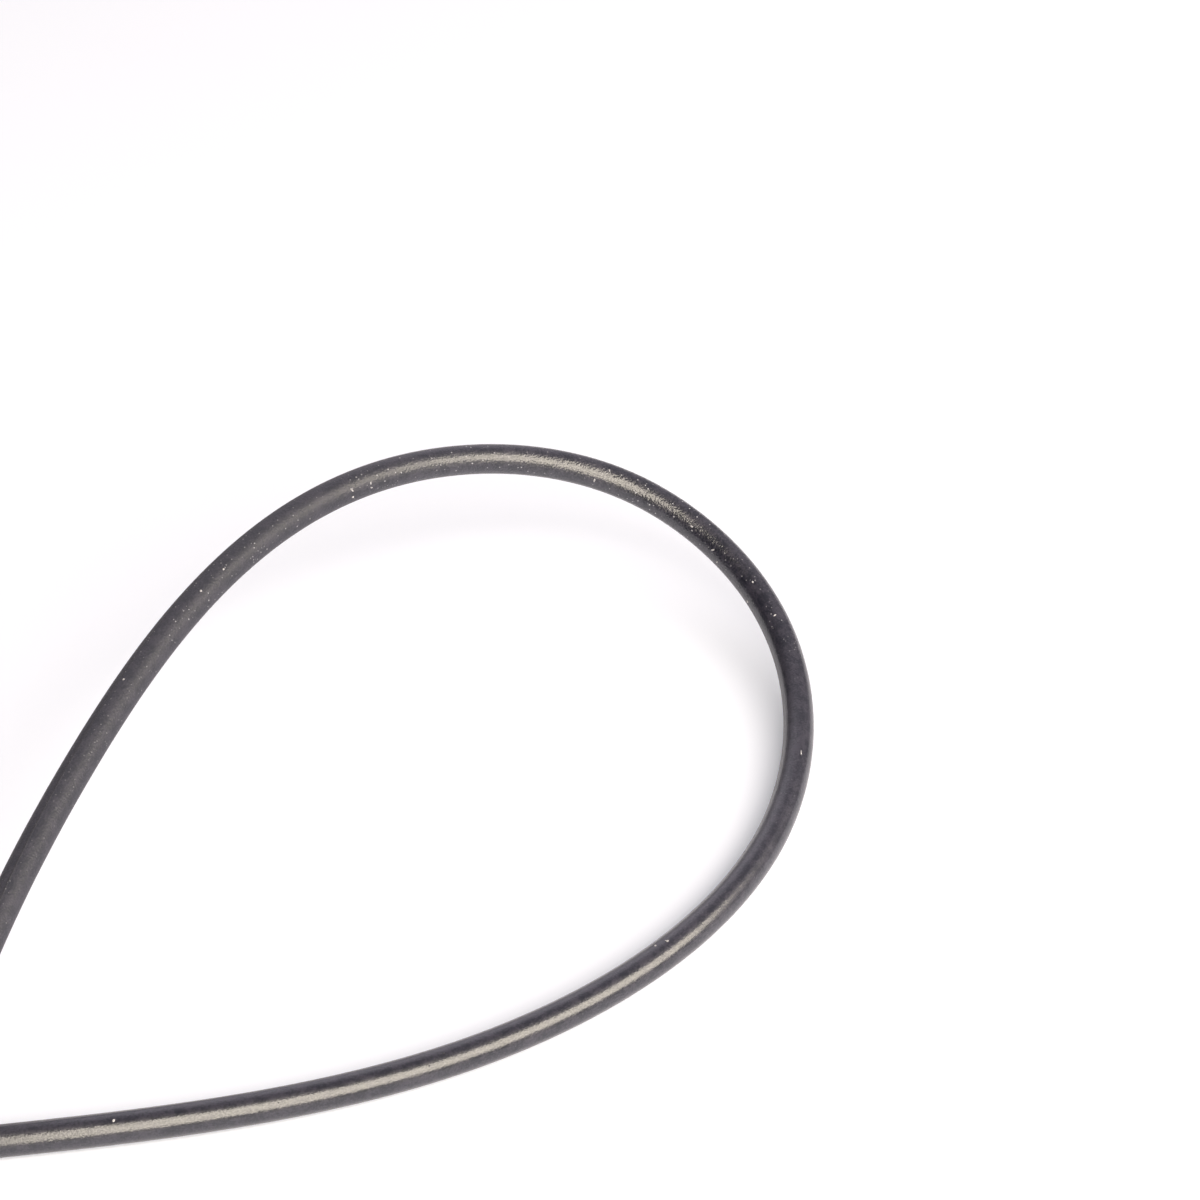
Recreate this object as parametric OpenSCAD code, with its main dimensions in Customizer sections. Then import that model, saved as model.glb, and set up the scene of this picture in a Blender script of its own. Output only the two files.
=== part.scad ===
// Black rubber O-ring, laid on a bench with one twist in it, so that it lies as a figure of eight.
// One loop lies flat. The other leans up from the bench to its far side, and its high strand
// passes over the crossing before it comes down again.
// The ring is one moulded loop of round section. Its centre line is a draughtsman's spline
// through a few points, and it is as long as it is when the ring lies round.
// Along is measured along the figure from the crossing, across from side to side, and a lift
// is the height of the cord's underside above the bench.

/* [Ring] */
// Inside diameter of the ring when it lies round and relaxed
ring_inside_d = 183.7; // [165:0.1:215]
// Diameter of the round section
cord_d = 3.53; // [2.6:0.01:5.4]

/* [Raised loop] */
// How far the loop reaches from the crossing
raised_reach = 122.5; // [105:0.5:135]
// How far its low strand bows out to the near side
raised_near = 28; // [22:0.5:36]
// How far its high strand bows out to the far side
raised_far = 37; // [30:0.5:45]
// Lift of the far side
far_lift = 18.5; // [13:0.5:24]
// Lift of the tip, where the loop reaches furthest
tip_lift = 5.5; // [3:0.5:9]

/* [Low strand] */
// Along, where it bows out most
low_bow_at = 57; // [45:0.5:68]
// How far short of the tip it leaves the bench
lift_off_short = 25.5; // [20:0.5:31]
// How far it has come in from the near side by then
lift_off_in = 4.5; // [2:0.5:8]

/* [Turn at the tip] */
// How far across the tip lies from the far side
tip_in = 28.5; // [23:0.5:34]
// How far short of the tip the loop is halfway round its turn
turn_short = 3.5; // [1:0.5:6]
// How far across that place lies from the far side
turn_in = 14; // [10:0.5:18]
// Lift at that place
turn_lift = 11; // [8:0.5:14]

/* [High strand] */
// How far short of the tip it bows out to the far side
far_short = 26.5; // [20:0.5:33]
// Along, where it heads for the crossing
high_at = 37; // [28:0.5:46]
// How far across it lies there
high_across = 23.5; // [18:0.5:29]
// Lift of the high strand there
high_lift = 16.5; // [12:0.5:20]
// Free height between the two strands where they cross
cross_gap = 7.5; // [3:0.5:12]

/* [Flat loop] */
// How far its near side bows out
flat_near = 42; // [34:1:50]
// How far its far side bows out
flat_far = 27; // [20:1:34]
// How far across its tip lies, towards the near side
flat_tip_shift = 12; // [6:1:18]
// Where it is widest, as a share of its reach
widest_at = 0.8; // [0.7:0.05:0.85]

/* [Hidden] */

// Flats round the section, and the length of cord from one section to the next
SECTION_SIDES = 20;
SECTION_STEP = 2.8;
// Each sweep halves what the spline's slopes are still out by
SWEEPS = 40;
// How far the ring length may miss
FITS_WITHIN = 1e-6;

// Length of the cord's centre line, the same for the ring lying round or twisted
ring_length = PI * (ring_inside_d + cord_d);

// The spline's points in order round the ring, for a given reach of the flat loop
function points(flat_reach) = [
  [0, 0, 0],
  [low_bow_at, -raised_near, 0],
  [raised_reach - lift_off_short, lift_off_in - raised_near, 0],
  [raised_reach, raised_far - tip_in, tip_lift],
  [raised_reach - turn_short, raised_far - turn_in, turn_lift],
  [raised_reach - far_short, raised_far, far_lift],
  [high_at, high_across, high_lift],
  [0, 0, cord_d + cross_gap],
  [-widest_at * flat_reach, -flat_near, 0],
  [-flat_reach, -flat_tip_shift, 0],
  [-widest_at * flat_reach, flat_far, 0]
];

function before(list, i) = list[(i + len(list) - 1) % len(list)];
function after(list, i) = list[(i + 1) % len(list)];

// One sweep towards the slopes that bend the spline least, level where the cord lies down
function swept(p, slopes) = [
  for (i = [0 : len(p) - 1])
    let (
      back = p[i] - before(p, i),
      ahead = after(p, i) - p[i],
      h0 = norm(back),
      h1 = norm(ahead),
      pull = 3 * (back / (h0 * h0) + ahead / (h1 * h1)),
      slope = (pull - before(slopes, i) / h0 - after(slopes, i) / h1) / (2 / h0 + 2 / h1)
    )
    p[i].z > 0 ? slope : [slope.x, slope.y, 0]
];
function settled(p, slopes, sweeps) =
  sweeps == 0 ? slopes : settled(p, swept(p, slopes), sweeps - 1);
function spline_slopes(p) = settled(p, [for (q = p) [0, 0, 0]], SWEEPS);

// The stretch of spline after point i, evenly cut into stations of [place, direction]
function stretch(p, slopes, i) =
  let (
    q = after(p, i),
    h = norm(q - p[i]),
    a = h * slopes[i],
    b = h * after(slopes, i),
    c = 3 * (q - p[i]) - 2 * a - b,
    d = 2 * (p[i] - q) + a + b,
    cuts = ceil(h / SECTION_STEP)
  )
  [for (cut = [0 : cuts - 1])
    let (u = cut / cuts, way = a + 2 * u * c + 3 * u * u * d)
      [p[i] + u * a + u * u * c + pow(u, 3) * d, way / norm(way)]];
function centre_line(flat_reach) =
  let (p = points(flat_reach), slopes = spline_slopes(p))
    [for (i = [0 : len(p) - 1]) each stretch(p, slopes, i)];
function sum(list) = list * [for (x = list) 1];
function line_length(line) =
  sum([for (i = [0 : len(line) - 1]) norm(after(line, i)[0] - line[i][0])]);

// The flat loop takes up the length that the raised loop leaves: its reach is found from two
// trial reaches, r0 and r1, and the ring lengths that they give
function fitted(r0, length0, r1, length1, steps) =
  steps == 0 || abs(length1 - ring_length) < FITS_WITHIN ? r1 :
  let (r2 = r1 + (ring_length - length1) * (r1 - r0) / (length1 - length0))
    fitted(r1, length1, r2, line_length(centre_line(r2)), steps - 1);
short_reach = 0.17 * ring_length;
long_reach = 0.2 * ring_length;
flat_reach = fitted(
  short_reach, line_length(centre_line(short_reach)),
  long_reach, line_length(centre_line(long_reach)), 8);
line = centre_line(flat_reach);

// The origin is on the bench, under the middle of the ring's outline
function mid_range(list) = (min(list) + max(list)) / 2;
middle = [mid_range([for (s = line) s[0].x]), mid_range([for (s = line) s[0].y]), -cord_d / 2];

// Points round the cord at a station, square to it, from its right side over the top
function section(s) =
  let (
    across = cross(s[1], [0, 0, 1]),
    side = across / norm(across),
    up = cross(side, s[1])
  )
  [for (k = [0 : SECTION_SIDES - 1])
    let (turn = 360 * k / SECTION_SIDES)
      s[0] - middle + cord_d / 2 * (cos(turn) * side + sin(turn) * up)];

// The whole ring: one moulded loop, its round section swept once round the centre line
module o_ring() {
  sides = SECTION_SIDES;
  count = len(line) * sides;
  color("#3a3a40")
    polyhedron(
      points = [for (s = line) each section(s)],
      faces = [
        for (i = [0 : len(line) - 1], k = [0 : sides - 1])
          let (here = i * sides, next = (here + sides) % count, turn = (k + 1) % sides)
            each [
              [here + k, here + turn, next + turn],
              [here + k, next + turn, next + k]
            ]
      ]
    );
}

o_ring();
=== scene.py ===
"""Looks of a black rubber O-ring that lies on a bench with one twist in it, as a figure of eight.

One loop lies flat. The other leans up to its far side, and its high strand passes over the
crossing. The rubber follows the CAD's own centre line, worked out here from the same sizes.
Sizes are in millimetres, as in the CAD, unless their comment says otherwise. Blender gets metres.
"""

from math import ceil, cos, pi, radians, sin

import bmesh
import bpy
from mathutils import Matrix, Vector


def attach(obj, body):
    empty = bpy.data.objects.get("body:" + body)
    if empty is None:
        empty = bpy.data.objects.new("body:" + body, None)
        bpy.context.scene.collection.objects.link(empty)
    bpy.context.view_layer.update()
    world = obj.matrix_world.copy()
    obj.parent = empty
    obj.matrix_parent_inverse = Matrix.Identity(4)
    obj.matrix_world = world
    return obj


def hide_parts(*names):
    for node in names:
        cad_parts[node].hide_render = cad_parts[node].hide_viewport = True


MM = 0.001

# The ring as it lies round and relaxed
RING_ID = 183.7
CORD_D = 3.53
RING_LENGTH = pi * (RING_ID + CORD_D)

# The raised loop, measured from the crossing
RAISED_REACH = 122.5
RAISED_NEAR = 28
RAISED_FAR = 37
FAR_LIFT = 18.5
TIP_LIFT = 5.5

# Its low strand, which lies on the bench and then leaves it
LOW_BOW_AT = 57
LIFT_OFF_SHORT = 25.5
LIFT_OFF_IN = 4.5

# Its turn at the tip
TIP_IN = 28.5
TURN_SHORT = 3.5
TURN_IN = 14
TURN_LIFT = 11

# Its high strand
FAR_SHORT = 26.5
HIGH_AT = 37
HIGH_ACROSS = 23.5
HIGH_LIFT = 16.5
CROSS_GAP = 7.5

# The flat loop, whose reach takes up the length that is left
FLAT_NEAR = 42
FLAT_FAR = 27
FLAT_TIP_SHIFT = 12
WIDEST_AT = 0.8

# Trial reaches of the flat loop, as shares of the ring's length, and how far that may miss
SHORT_TRIAL = 0.17
LONG_TRIAL = 0.2
TRIALS = 8
FITS_WITHIN = 0.001

# How the CAD cuts its centre line, and how finely the rubber is drawn here
CAD_STEP = 2.8
SWEEPS = 40
RUBBER_STEP = 1.4
RUBBER_SIDES = 48
MERGE_WITHIN = 0.002

# Where along the centre line the mould's parting line lies level, which is round the tip.
# The ring was turned over once to lie like this, so its rubber turns once in its length.
LEVEL_PARTING_AT = 130

# Crumbs of dust that stand out on the ring: how far along it, how many degrees round the section
# from its right side over the top, how long and wide, and by how many degrees each is turned
CRUMBS = [
    (17.5, 74, 0.40, 0.30, 45),
    (81.5, 105, 0.34, 0.26, 80),
    (83.5, 91, 0.46, 0.18, -48),
    (84, 88, 0.30, 0.24, 0),
    (118.5, 71, 0.80, 0.16, 6),
    (140.5, 98, 0.45, 0.18, -70),
    (144, 177, 0.36, 0.18, -25),
    (146, 109, 0.33, 0.24, 0),
    (150.5, 177, 0.34, 0.24, 85),
    (152, 150, 0.48, 0.20, 50),
    (156.5, 138, 0.36, 0.20, 0),
    (168.5, 109, 0.40, 0.20, -70),
    (170, 168, 0.50, 0.22, -86),
    (200, 172, 0.32, 0.22, -20),
    (200, 153, 0.36, 0.20, 80),
    (203, 150, 0.55, 0.20, -63),
    (203, 180, 0.30, 0.26, -20),
    (224, 117, 0.33, 0.24, 0),
    (228, 112, 0.32, 0.28, 0),
    (243.5, 85, 0.30, 0.26, 10),
]
CRUMB_THICK = 0.12
CRUMB_GRIT = 0.1

# The camera looks at this place on the bench. It looks so many degrees to the right of the part's
# Y axis, from so many degrees up and from so far away
LOOK_AT = Vector((106.95, 25.77, 0))
VIEW_TURN = 41.74
VIEW_HEIGHT = 40.21
VIEW_DISTANCE = 571
LENS = 142.4
SENSOR = 36

# The grain of the blasted mould is 0.1 mm across, and pits lie as close. Both are drawn coarser,
# as fine as still sparkles in the render. The grain is deeper on the far side
GRAIN = 0.24
NEAR_GRAIN_HEIGHT = 0.020
FAR_GRAIN_HEIGHT = 0.056
PITS = 0.16

# Slow unevenness of the skin
WAVES = 2.5
WAVE_HEIGHT = 0.03

# The mould's parting line is a trimmed flash: how far to each side it is full, how far it reaches,
# and how proud it stands
FLASH_FULL = 0.06
FLASH_REACH = 0.13
FLASH_HEIGHT = 0.03

# How wide patches of bloom and drifts of dust are, and the cells that hold one grain of dust each
# at most. The fine grains are pale dust, and partly painted glints. The softness of a grain's edge is
# a share of its cell
BLOOM_PATCH = 1.6
DUST_DRIFT = 14
FINE_DUST_AND_GLINT_CELL = 0.34
COARSE_DUST_CELL = 1.1
COARSE_DUST_HEIGHT = 0.04
SOFT_EDGE = 0.1

# From where to where these change, in metres: the far side and its grain along Y, which leads
# across the raised loop, and the film and the dust along X, which leads away from the crossing
FAR_SIDE_BEGINS = (-10 * MM, 15 * MM)
GRAIN_DEEPENS = (-12 * MM, 18 * MM)
FILM_THINS = (66 * MM, 112 * MM)
DUST_THICKENS = (35 * MM, 70 * MM)

# Half the width of the bench top, in metres, and how much brighter the camera sees it than the
# light makes it, so that it comes up to white round the shadow
BENCH_HALF_WIDTH = 4
BENCH_LIFT = 0.27

# The softbox: how many degrees to the right of straight ahead and how high its middle stands as
# seen from the ring, how far in metres, how brightly it shines, and the corners of its front, in
# metres to its own right of the middle and up its slope
SOFTBOX_TURN = 138.3
SOFTBOX_HEIGHT = 44.4
SOFTBOX_DISTANCE = 0.955
SOFTBOX_RADIANCE = 6.4
SOFTBOX_CORNERS = [(-1.10, -0.55), (0.84, -0.40), (0.93, 0.30), (0.04, 0.22), (-0.44, 0.58)]

# What lights the room besides: how many degrees to the right of straight ahead it is and how high,
# how sharply it ends and how bright it is
ROOM_LIGHTS = [
    (-12, 30, 8, 1.00),  # the backdrop, straight behind the bench and a little to the left
    (5, 22, 10, 0.25),  # the brighter middle of the backdrop
    (88, 22, 3.5, 0.35),  # the pale wall on the right
    (67, 40, 20, 0.35),  # a white card that hangs there
    (60, 60, 2, 0.06),  # the ceiling over them
]
ROOM_DARK = 0.03


def route(flat_reach):
    """The spline's points in order round the ring."""
    return [
        Vector((0, 0, 0)),
        Vector((LOW_BOW_AT, -RAISED_NEAR, 0)),
        Vector((RAISED_REACH - LIFT_OFF_SHORT, LIFT_OFF_IN - RAISED_NEAR, 0)),
        Vector((RAISED_REACH, RAISED_FAR - TIP_IN, TIP_LIFT)),
        Vector((RAISED_REACH - TURN_SHORT, RAISED_FAR - TURN_IN, TURN_LIFT)),
        Vector((RAISED_REACH - FAR_SHORT, RAISED_FAR, FAR_LIFT)),
        Vector((HIGH_AT, HIGH_ACROSS, HIGH_LIFT)),
        Vector((0, 0, CORD_D + CROSS_GAP)),
        Vector((-WIDEST_AT * flat_reach, -FLAT_NEAR, 0)),
        Vector((-flat_reach, -FLAT_TIP_SHIFT, 0)),
        Vector((-WIDEST_AT * flat_reach, FLAT_FAR, 0)),
    ]


def spline_slopes(points):
    """Slopes that bend the spline least, level where the cord lies on the bench."""
    count = len(points)
    slopes = [Vector() for _ in points]
    for _ in range(SWEEPS):
        swept = []
        for i, point in enumerate(points):
            back = point - points[i - 1]
            ahead = points[(i + 1) % count] - point
            pull = 3 * (back / back.length_squared + ahead / ahead.length_squared)
            near = slopes[i - 1] / back.length + slopes[(i + 1) % count] / ahead.length
            slope = (pull - near) / (2 / back.length + 2 / ahead.length)
            if point.z == 0:
                slope.z = 0
            swept.append(slope)
        slopes = swept
    return slopes


def centre_line(flat_reach, step):
    """Stations of (place, direction) along the ring, cut no longer than step."""
    points = route(flat_reach)
    slopes = spline_slopes(points)
    stations = []
    for i, start in enumerate(points):
        j = (i + 1) % len(points)
        span = points[j] - start
        a = span.length * slopes[i]
        b = span.length * slopes[j]
        c = 3 * span - 2 * a - b
        d = a + b - 2 * span
        cuts = ceil(span.length / step)
        for cut in range(cuts):
            u = cut / cuts
            place = start + u * a + u * u * c + u**3 * d
            stations.append((place, (a + 2 * u * c + 3 * u * u * d).normalized()))
    return stations


def line_length(stations):
    """Length of the closed line through the stations."""
    places = [place for place, _ in stations]
    return sum((place - places[i - 1]).length for i, place in enumerate(places))


def fitted_reach():
    """Reach of the flat loop that gives the whole ring its length."""
    reach = SHORT_TRIAL * RING_LENGTH
    next_reach = LONG_TRIAL * RING_LENGTH
    length = line_length(centre_line(reach, CAD_STEP))
    for _ in range(TRIALS):
        next_length = line_length(centre_line(next_reach, CAD_STEP))
        miss = RING_LENGTH - next_length
        if abs(miss) < FITS_WITHIN:
            break
        step = miss * (next_reach - reach) / (next_length - length)
        reach, length, next_reach = next_reach, next_length, next_reach + step
    return next_reach


def middle_of(stations):
    """The CAD's origin: on the bench, under the middle of the ring's outline."""
    xs = [place.x for place, _ in stations]
    ys = [place.y for place, _ in stations]
    return Vector(((min(xs) + max(xs)) / 2, (min(ys) + max(ys)) / 2, -CORD_D / 2))


def laid_line():
    """Stations of (along, place, direction) round the ring as it lies, with its origin on the bench,
    and the ring's length."""
    reach = fitted_reach()
    middle = middle_of(centre_line(reach, CAD_STEP))
    stations = centre_line(reach, RUBBER_STEP)
    along = 0
    laid = []
    for i, (place, direction) in enumerate(stations):
        if i > 0:
            along += (place - stations[i - 1][0]).length
        laid.append((along, place - middle, direction))
    return laid, line_length(stations)


def turned_section(place, direction, turn):
    """The matrix that carries a section to a place on the line. At no turn its X points to the
    right of the line's direction, and it turns from there over the top."""
    side = direction.cross(Vector((0, 0, 1))).normalized()
    up = side.cross(direction)
    first = cos(turn) * side + sin(turn) * up
    second = cos(turn) * up - sin(turn) * side
    carried = Matrix((first, second, first.cross(second))).transposed().to_4x4()
    carried.translation = place * MM
    return carried


def section_places():
    """For each station, the matrix that carries the round section there, turned as the mould's
    parting plane turns: the section's X points to the ring's inside when it lies round."""
    laid, length = laid_line()
    return [
        turned_section(place, direction, pi + 2 * pi * (along - LEVEL_PARTING_AT) / length)
        for along, place, direction in laid
    ]


def finished(bm, name, material):
    """A piece made from its finished mesh, with its material, as an object at the origin."""
    mesh = bpy.data.meshes.new(name)
    bm.to_mesh(mesh)
    bm.free()
    mesh.materials.append(material)
    piece = bpy.data.objects.new(name, mesh)
    bpy.context.scene.collection.objects.link(piece)
    return piece


def swept_ring(name, material):
    """The moulded ring: a round section extruded station by station and joined to its start."""
    bm = bmesh.new()
    # Height over the mould's parting plane, which each extruded section inherits
    off_parting = bm.verts.layers.float.new("off_parting")
    section = bmesh.ops.create_circle(bm, segments=RUBBER_SIDES, radius=CORD_D / 2 * MM)["verts"]
    for vert in section:
        vert[off_parting] = vert.co.y
    places = section_places()
    edges = list(bm.edges)
    bmesh.ops.transform(bm, matrix=places[0], verts=section)
    for here, there in zip(places, places[1:] + places[:1]):
        new = bmesh.ops.extrude_edge_only(bm, edges=edges)["geom"]
        verts = [item for item in new if isinstance(item, bmesh.types.BMVert)]
        fresh = set(verts)
        new_edges = [item for item in new if isinstance(item, bmesh.types.BMEdge)]
        edges = [edge for edge in new_edges if fresh.issuperset(edge.verts)]
        bmesh.ops.transform(bm, matrix=there @ here.inverted(), verts=verts)
    bmesh.ops.remove_doubles(bm, verts=bm.verts, dist=MERGE_WITHIN * MM)
    bmesh.ops.recalc_face_normals(bm, faces=bm.faces)
    for face in bm.faces:
        face.smooth = True
    return finished(bm, name, material)


def crumbs(name, material):
    """The larger crumbs of dust, each a flattened grain half sunk in the rubber."""
    bm = bmesh.new()
    laid, _ = laid_line()
    sunk = Matrix.Translation((CORD_D / 2 * MM, 0, 0))
    for at, round_section, long, wide, spin in CRUMBS:
        _, place, direction = min(laid, key=lambda station: abs(station[0] - at))
        onto_side = turned_section(place, direction, radians(round_section))
        shaped = Matrix.Rotation(radians(spin), 4, "X") @ Matrix.Diagonal((CRUMB_THICK, wide, long, 1))
        # A grain 1 mm across, which its shape then scales
        grain = bmesh.ops.create_icosphere(bm, subdivisions=2, radius=MM / 2)["verts"]
        bmesh.ops.transform(bm, matrix=onto_side @ sunk @ shaped, verts=grain)
    for face in bm.faces:
        face.smooth = True
    return finished(bm, name, material)


def linear(hex_colour):
    """An sRGB hex colour as linear red, green, blue and alpha."""
    parts = [int(hex_colour[i : i + 2], 16) / 255 for i in (1, 3, 5)]
    return [p / 12.92 if p <= 0.04045 else ((p + 0.055) / 1.055) ** 2.4 for p in parts] + [1]


def set_inputs(node, inputs):
    """Sets or links a node's inputs. A list gives the first of them in order, and a dict gives them
    by name or number."""
    for key, value in inputs.items() if isinstance(inputs, dict) else enumerate(inputs):
        if isinstance(value, bpy.types.NodeSocket):
            node.id_data.links.new(value, node.inputs[key])
        else:
            node.inputs[key].default_value = value


def add_node(tree, kind, settings, inputs):
    """Adds a node with its settings and inputs, and gives its outputs."""
    node = tree.nodes.new("ShaderNode" + kind)
    for key, value in settings.items():
        setattr(node, key, value)
    set_inputs(node, inputs)
    return node.outputs


# Settings that many nodes share. A MapRange with SMOOTH takes a value from one range smoothly to
# another, a Math with SCALED_ADD gives first times second plus third, and a Mix of COLOURS has its
# share at input 0, its two colours at 6 and 7 and its result at output 2
SMOOTH = {"interpolation_type": "SMOOTHSTEP"}
TIMES = {"operation": "MULTIPLY"}
SCALED_ADD = {"operation": "MULTIPLY_ADD"}
COLOURS = {"data_type": "RGBA"}


def new_material(name):
    """A material with nodes, and their tree."""
    material = bpy.data.materials.new(name)
    material.use_nodes = True
    return material, material.node_tree


def dust_and_glint_grains(tree, place, cell, share, widest):
    """Round pale grains, one to a cell at most, in a share of the cells: dust, and among the fine
    ones painted glints as well. The widest grain's radius is this part of a cell."""
    cells = add_node(tree, "TexVoronoi", {}, {"Vector": place, "Scale": 1 / (cell * MM)})
    chance = add_node(tree, "SeparateColor", {}, [cells["Color"]])[0]
    reach = add_node(tree, "MapRange", SMOOTH, [chance, 1 - share, 1, 0, widest])[0]
    inside = add_node(tree, "Math", {"operation": "SUBTRACT"}, [reach, cells["Distance"]])[0]
    return add_node(tree, "MapRange", SMOOTH, [inside, 0, SOFT_EDGE, 0, 1])[0]


def moulded_nitrile_rubber():
    """Nitrile rubber, press moulded: nearly black and satin. It shows a crisp pale band where the
    light falls, broken into sparkle by the grain of the blasted mould, a grey bloom in cloudy
    patches, the mould's parting line, and fine dust whose pale specks are partly painted glints."""
    material, tree = new_material("moulded_nitrile_rubber")
    place = add_node(tree, "TexCoord", {}, {})["Object"]
    apart = add_node(tree, "SeparateXYZ", {}, [place])
    far_side = add_node(tree, "MapRange", SMOOTH, [apart["Y"], *FAR_SIDE_BEGINS, 0, 1])[0]

    # Noise at the scales of the mould's grain, its pits, slow waves in the skin and drifts of dust
    grain, pitted, waves, clouds = [
        add_node(tree, "TexNoise", {}, {"Vector": place, "Scale": 1 / (size * MM), "Detail": 1})[0]
        for size in (GRAIN, PITS, WAVES, DUST_DRIFT)
    ]
    grain_heights = [apart["Y"], *GRAIN_DEEPENS, NEAR_GRAIN_HEIGHT, FAR_GRAIN_HEIGHT]
    grain_height = add_node(tree, "MapRange", SMOOTH, grain_heights)[0]

    # Parting line, from the height over the parting plane that the ring's mesh carries
    off_parting = add_node(tree, "Attribute", {"attribute_name": "off_parting"}, {})["Fac"]
    from_line = add_node(tree, "Math", {"operation": "ABSOLUTE"}, [off_parting])[0]
    edge = [from_line, FLASH_FULL * MM, FLASH_REACH * MM, 1, 0]
    parting = add_node(tree, "MapRange", SMOOTH, edge)[0]

    # Dust in grains, which lie thicker in drifts, on the far side and away from the crossing. The fine
    # grains are partly painted glints, which stand for the sparkle of the highlight on the far side
    fine_dust_and_glints = dust_and_glint_grains(tree, place, FINE_DUST_AND_GLINT_CELL, share=0.4, widest=0.32)
    coarse_dust = dust_and_glint_grains(tree, place, COARSE_DUST_CELL, share=0.2, widest=0.14)
    drifts = add_node(tree, "MapRange", SMOOTH, [clouds, 0.38, 0.62, 0.4, 1])[0]
    far_drifts = add_node(tree, "MapRange", SMOOTH, [far_side, 0, 1, 0.12, 1])[0]
    outer_drifts = add_node(tree, "MapRange", SMOOTH, [apart["X"], *DUST_THICKENS, 0.35, 1])[0]
    drifts = add_node(tree, "Math", TIMES, [drifts, far_drifts])[0]
    drifts = add_node(tree, "Math", TIMES, [drifts, outer_drifts])[0]
    fine_dust_and_glint_share = add_node(tree, "Math", TIMES, [drifts, 0.8])[0]
    coarse_share = add_node(tree, "Math", TIMES, [drifts, 0.9])[0]
    fine_dust_and_glint_spots = add_node(tree, "Math", TIMES, [fine_dust_and_glints, fine_dust_and_glint_share])[0]
    coarse_dusty = add_node(tree, "Math", TIMES, [coarse_dust, coarse_share])[0]
    dust_and_glints = add_node(tree, "Math", {"operation": "MAXIMUM"}, [fine_dust_and_glint_spots, coarse_dusty])[0]

    # A film of the finest dust, which dulls the high strand on its way to the crossing
    inner = add_node(tree, "MapRange", SMOOTH, [apart["X"], *FILM_THINS, 1, 0])[0]
    film = add_node(tree, "Math", TIMES, [far_side, inner])[0]

    # Relief of the skin
    height = add_node(tree, "Math", TIMES, [grain, grain_height])[0]
    forms = [(waves, WAVE_HEIGHT), (parting, FLASH_HEIGHT), (coarse_dust, COARSE_DUST_HEIGHT)]
    for form, rise in forms:
        height = add_node(tree, "Math", SCALED_ADD, [form, rise, height])[0]
    relief = add_node(tree, "Bump", {}, {"Strength": 1, "Distance": MM, "Height": height})["Normal"]

    # Bloom in patches, from a bluish black to a violet grey, and the rest laid over it
    cloudy = {"Vector": place, "Scale": 1 / (BLOOM_PATCH * MM), "Detail": 3, "Roughness": 0.6}
    patches = add_node(tree, "TexNoise", {}, cloudy)[0]
    mottled = add_node(tree, "Math", SCALED_ADD, [grain, 0.8, patches])[0]
    bloom = add_node(tree, "MapRange", SMOOTH, [mottled, 0.74, 1.08, 0, 1])[0]
    parting_share = add_node(tree, "Math", TIMES, [parting, 0.7])[0]
    film_share = add_node(tree, "Math", TIMES, [film, 0.25])[0]
    colour = linear("#171824")
    layers = [
        (bloom, "#302E3A"),
        (parting_share, "#1E1D21"),
        (film_share, "#3E404C"),
        # Pale specks of dust, with painted glints among the fine ones
        (dust_and_glints, "#B8B8C0"),
    ]
    for share, layer in layers:
        colour = add_node(tree, "Mix", COLOURS, {0: share, 6: colour, 7: linear(layer)})[2]

    # Roughness, which follows the bloom and rises under the dust specks and the painted glints among
    # them
    rough = add_node(tree, "MapRange", SMOOTH, [patches, 0.3, 0.7, 0.34, 0.42])[0]
    for cause, rise in ((dust_and_glints, 0.5), (film, 0.22)):
        rough = add_node(tree, "Math", SCALED_ADD, [cause, rise, rough])[0]

    # Pits and the film break up the shine
    shine = add_node(tree, "MapRange", SMOOTH, [pitted, 0.40, 0.60, 0.45, 1])[0]
    through_film = add_node(tree, "MapRange", SMOOTH, [film, 0, 1, 1, 0.1])[0]
    shine = add_node(tree, "Math", TIMES, [shine, through_film])[0]

    look = {
        "Base Color": colour,
        "Roughness": rough,
        "IOR": 1.52,
        "Specular IOR Level": 0.7,
        "Normal": relief,
        "Coat Weight": shine,
        "Coat Roughness": 0.15,
        "Coat IOR": 1.58,
        "Coat Normal": relief,
        "Sheen Weight": 0.06,
        "Sheen Roughness": 0.5,
        "Sheen Tint": linear("#E8DCE6"),
    }
    set_inputs(tree.nodes["Principled BSDF"], look)
    return material


def bench_dust():
    """Dust and lint off the bench: pale, dry and quite matt, and mottled by the fibres and grit in
    each crumb."""
    material, tree = new_material("bench_dust")
    place = add_node(tree, "TexCoord", {}, {})["Object"]
    grit = add_node(tree, "TexNoise", {}, {"Vector": place, "Scale": 1 / (CRUMB_GRIT * MM)})[0]
    speckle = add_node(tree, "MapRange", SMOOTH, [grit, 0.35, 0.65, 0, 1])[0]
    shades = {0: speckle, 6: linear("#8C8A8E"), 7: linear("#CCCBD0")}
    colour = add_node(tree, "Mix", COLOURS, shades)[2]
    set_inputs(tree.nodes["Principled BSDF"], {"Base Color": colour, "Roughness": 0.9})
    return material


def plain_surface(tree, shader):
    """Gives the material this shader in place of the usual one."""
    tree.nodes.remove(tree.nodes["Principled BSDF"])
    set_inputs(tree.nodes["Material Output"], {"Surface": shader})


def white_bench():
    """White laminate bench top: clean and matt, and pure white where the light is full."""
    material, tree = new_material("white_bench_top")
    matt = add_node(tree, "BsdfDiffuse", {}, [linear("#D2D6E4")])[0]
    seen = add_node(tree, "LightPath", {}, {})["Is Camera Ray"]
    lift = add_node(tree, "Math", TIMES, [seen, BENCH_LIFT])[0]
    glow = add_node(tree, "Emission", {}, [linear("#FFFFFF"), lift])[0]
    plain_surface(tree, add_node(tree, "AddShader", {}, [matt, glow])[0])
    return material


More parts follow.
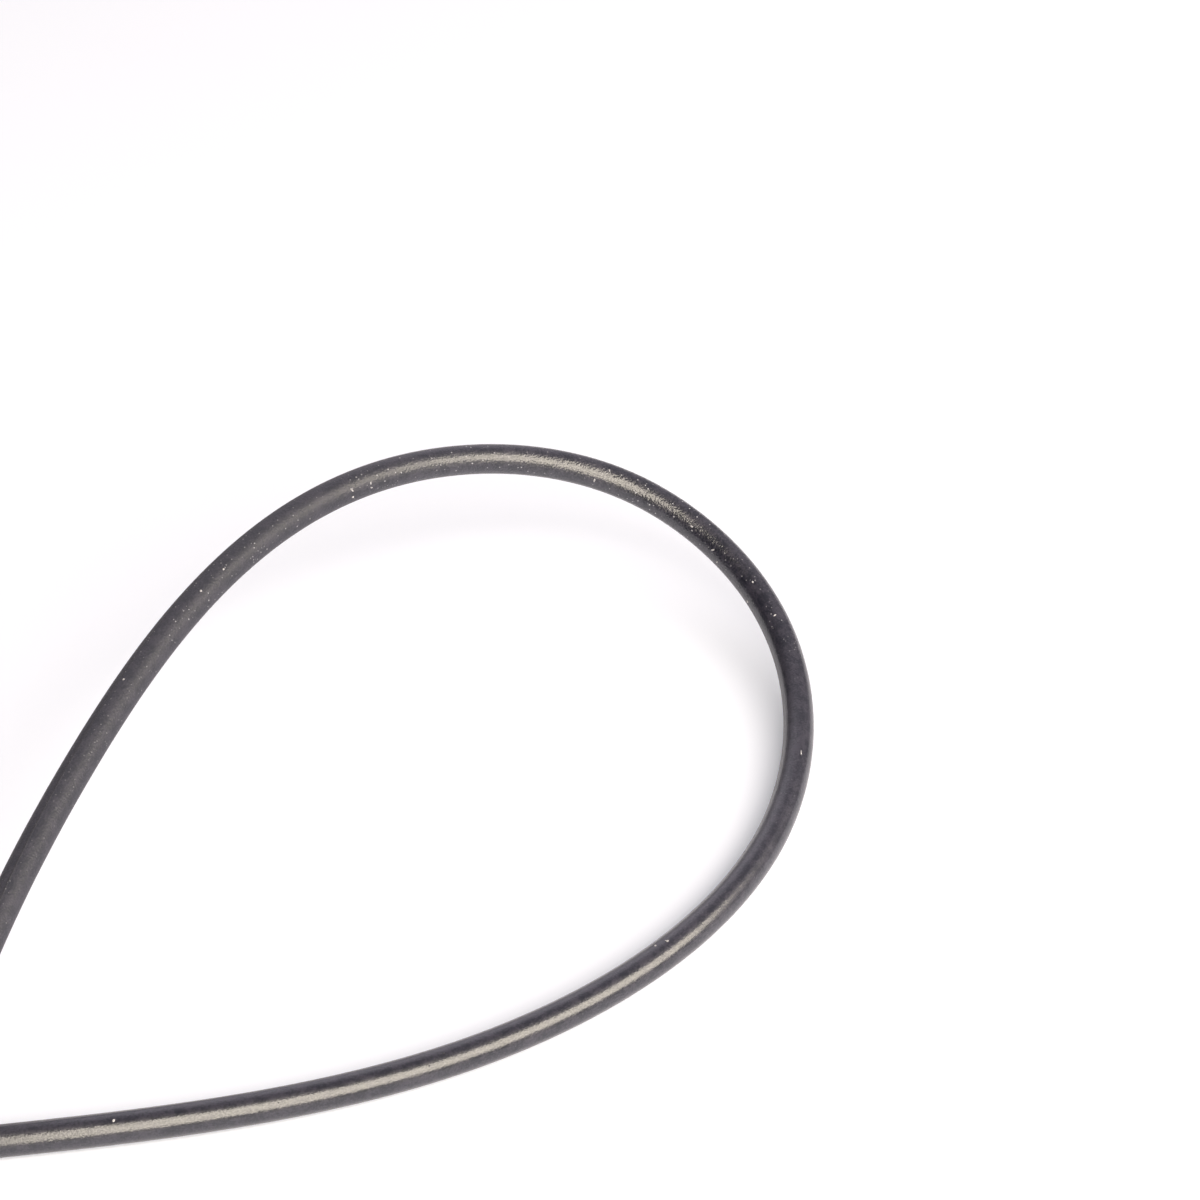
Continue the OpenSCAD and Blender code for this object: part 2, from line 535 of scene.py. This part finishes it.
def bench():
    """The bench top that the ring lies on, far wider than the view."""
    bm = bmesh.new()
    bmesh.ops.create_grid(bm, x_segments=1, y_segments=1, size=BENCH_HALF_WIDTH)
    return finished(bm, "bench", white_bench())


def direction_to(turn, height):
    """The direction so many degrees to the right of where the camera looks and so many up."""
    turn = radians(VIEW_TURN + turn)
    height = radians(height)
    return Vector((sin(turn) * cos(height), cos(turn) * cos(height), sin(height)))


def camera():
    """The photograph's camera."""
    data = bpy.data.cameras.new("camera")
    data.lens = LENS
    data.sensor_width = SENSOR
    eye = bpy.data.objects.new("camera", data)
    bpy.context.scene.collection.objects.link(eye)
    towards_eye = direction_to(180, VIEW_HEIGHT)
    eye.location = (LOOK_AT + VIEW_DISTANCE * towards_eye) * MM
    eye.rotation_euler = (-towards_eye).to_track_quat("-Z", "Y").to_euler()
    bpy.context.scene.camera = eye


def softbox_front():
    """The softbox's front cloth, which shines evenly, and only forwards."""
    material, tree = new_material("softbox_cloth")
    behind = add_node(tree, "NewGeometry", {}, {})["Backfacing"]
    shining = add_node(tree, "Emission", {}, [linear("#FFF5E4"), SOFTBOX_RADIANCE])[0]
    dark = add_node(tree, "Emission", {}, {"Strength": 0})[0]
    plain_surface(tree, add_node(tree, "MixShader", {}, [behind, shining, dark])[0])
    return material


def softbox():
    """The studio's one softbox, to the right and on the camera's side. Its outline is worked out
    from the edges of the highlight, so it isn't a plain oblong, and it is taller at its own left."""
    out = direction_to(SOFTBOX_TURN, SOFTBOX_HEIGHT)
    level = Vector((0, 0, 1)).cross(out).normalized()
    steep = out.cross(level)
    middle = LOOK_AT * MM + SOFTBOX_DISTANCE * out
    bm = bmesh.new()
    corners = [middle + right * level + up * steep for right, up in reversed(SOFTBOX_CORNERS)]
    bm.faces.new([bm.verts.new(corner) for corner in corners])
    lamp = finished(bm, "softbox", softbox_front())
    lamp.visible_camera = False
    return lamp


def room():
    """The room round the bench: white to the camera, and to everything else a dark room with a
    backdrop, a wall, a card and a ceiling that the softbox lights."""
    world = bpy.data.worlds.new("room")
    bpy.context.scene.world = world
    world.use_nodes = True
    tree = world.node_tree
    looking = add_node(tree, "TexCoord", {}, {})["Generated"]
    level = ROOM_DARK
    for turn, height, sharp, bright in ROOM_LIGHTS:
        towards = {0: looking, 1: direction_to(turn, height)}
        facing = add_node(tree, "VectorMath", {"operation": "DOT_PRODUCT"}, towards)["Value"]
        facing = add_node(tree, "Math", {"operation": "MAXIMUM"}, [facing, 0])[0]
        pool = add_node(tree, "Math", {"operation": "POWER"}, [facing, sharp])[0]
        level = add_node(tree, "Math", SCALED_ADD, [pool, bright, level])[0]
    seen = add_node(tree, "LightPath", {}, {})["Is Camera Ray"]
    fill = add_node(tree, "Background", {}, [linear("#EBE6F2"), level])[0]
    white = add_node(tree, "Background", {}, [linear("#FFFFFF"), 1])[0]
    both = add_node(tree, "MixShader", {}, [seen, fill, white])[0]
    set_inputs(tree.nodes["World Output"], {"Surface": both})


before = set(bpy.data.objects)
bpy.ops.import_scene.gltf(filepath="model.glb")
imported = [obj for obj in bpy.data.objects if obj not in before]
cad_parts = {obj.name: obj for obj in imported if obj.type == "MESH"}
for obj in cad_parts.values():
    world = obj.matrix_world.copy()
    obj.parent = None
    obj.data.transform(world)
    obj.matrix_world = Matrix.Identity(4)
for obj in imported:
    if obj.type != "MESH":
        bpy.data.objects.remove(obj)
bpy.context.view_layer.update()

ring = swept_ring("moulded_ring", moulded_nitrile_rubber())
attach(ring, "root")
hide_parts("o_ring")

dust = crumbs("dust_crumbs", bench_dust())
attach(dust, "root")

bench()
softbox()
room()
camera()
bpy.context.scene.view_settings.view_transform = "Standard"
